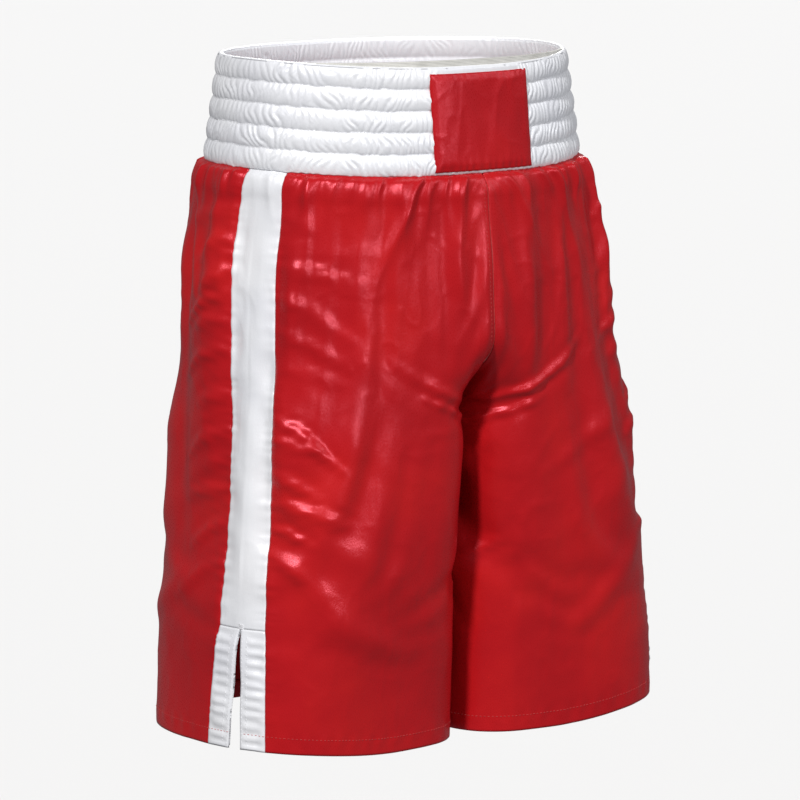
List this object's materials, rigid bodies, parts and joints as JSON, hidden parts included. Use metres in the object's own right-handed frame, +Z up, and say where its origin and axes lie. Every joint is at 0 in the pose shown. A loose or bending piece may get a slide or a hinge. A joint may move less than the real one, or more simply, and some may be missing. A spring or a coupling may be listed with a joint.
{
  "type": "boxing shorts",
  "caption": "Long loose satin boxing shorts with a wide shirred elastic waistband, contrast side stripes, side vents and a blank front patch.",
  "frame": {"origin": "middle of the waist opening, level with the top edge of the waistband", "axes": "+Z up along the wearer's torso, -Y out of the front where the patch is, +X towards the wearer's left"},
  "size_m": [0.4798, 0.288, 0.6101],
  "materials": {
    "red_satin": "satin",
    "white_satin": "satin",
    "elastic": "woven, matt",
    "red_thread": "overlocked thread, matt",
    "white_thread": "overlocked thread, matt"
  },
  "bodies": {
    "seat": {"waistband_outer": "white_satin", "waistband_lining": "white_satin", "waist_elastic_1": "elastic", "waist_elastic_2": "elastic", "waist_elastic_3": "elastic", "waist_elastic_4": "elastic", "waist_elastic_5": "elastic", "centre_front_patch": "red_satin", "waist_seam_overlock": "white_thread", "front_rise_seam": "red_thread", "back_rise_seam": "red_thread", "right_front_panel_hip": "red_satin", "right_back_panel_hip": "red_satin", "right_side_stripe_hip": "white_satin", "right_inseam_hip": "red_thread", "left_front_panel_hip": "red_satin", "left_back_panel_hip": "red_satin", "left_side_stripe_hip": "white_satin", "left_inseam_hip": "red_thread"},
    "right_leg": {"right_front_panel_leg": "red_satin", "right_back_panel_leg": "red_satin", "right_side_stripe_leg": "white_satin", "right_inseam_leg": "red_thread", "right_front_hem": "red_satin", "right_back_hem": "red_satin", "right_vent_bartack": "white_thread"},
    "right_vent_front": {"right_vent_front_tab": "white_satin", "right_vent_front_facing": "white_satin"},
    "right_vent_back": {"right_vent_back_tab": "white_satin", "right_vent_back_facing": "white_satin"},
    "left_leg": {"left_front_panel_leg": "red_satin", "left_back_panel_leg": "red_satin", "left_side_stripe_leg": "white_satin", "left_inseam_leg": "red_thread", "left_front_hem": "red_satin", "left_back_hem": "red_satin", "left_vent_bartack": "white_thread"},
    "left_vent_front": {"left_vent_front_tab": "white_satin", "left_vent_front_facing": "white_satin"},
    "left_vent_back": {"left_vent_back_tab": "white_satin", "left_vent_back_facing": "white_satin"}
  },
  "joints": [
    {"name": "right_leg_swing", "type": "hinge", "parent": "seat", "child": "right_leg", "pos_m": [-0.115, 0, -0.25], "axis": [-1, 0, 0], "range_deg": [-15, 25]},
    {"name": "left_leg_swing", "type": "hinge", "parent": "seat", "child": "left_leg", "pos_m": [0.115, 0, -0.25], "axis": [-1, 0, 0], "range_deg": [-15, 25]},
    {"name": "right_vent_front_flap", "type": "hinge", "parent": "right_leg", "child": "right_vent_front", "pos_m": [-0.21626, -0.07627, -0.5], "axis": [0.032, 0.0237, 0.9992], "range_deg": [0, 60]},
    {"name": "right_vent_back_flap", "type": "hinge", "parent": "right_leg", "child": "right_vent_back", "pos_m": [-0.22993, -0.02919, -0.5], "axis": [-0.0859, 0.0744, -0.9935], "range_deg": [0, 60]},
    {"name": "left_vent_front_flap", "type": "hinge", "parent": "left_leg", "child": "left_vent_front", "pos_m": [0.21626, -0.07627, -0.5], "axis": [0.032, -0.0237, -0.9992], "range_deg": [0, 60]},
    {"name": "left_vent_back_flap", "type": "hinge", "parent": "left_leg", "child": "left_vent_back", "pos_m": [0.22993, -0.02919, -0.5], "axis": [-0.0859, -0.0744, 0.9935], "range_deg": [0, 60]}
  ]
}
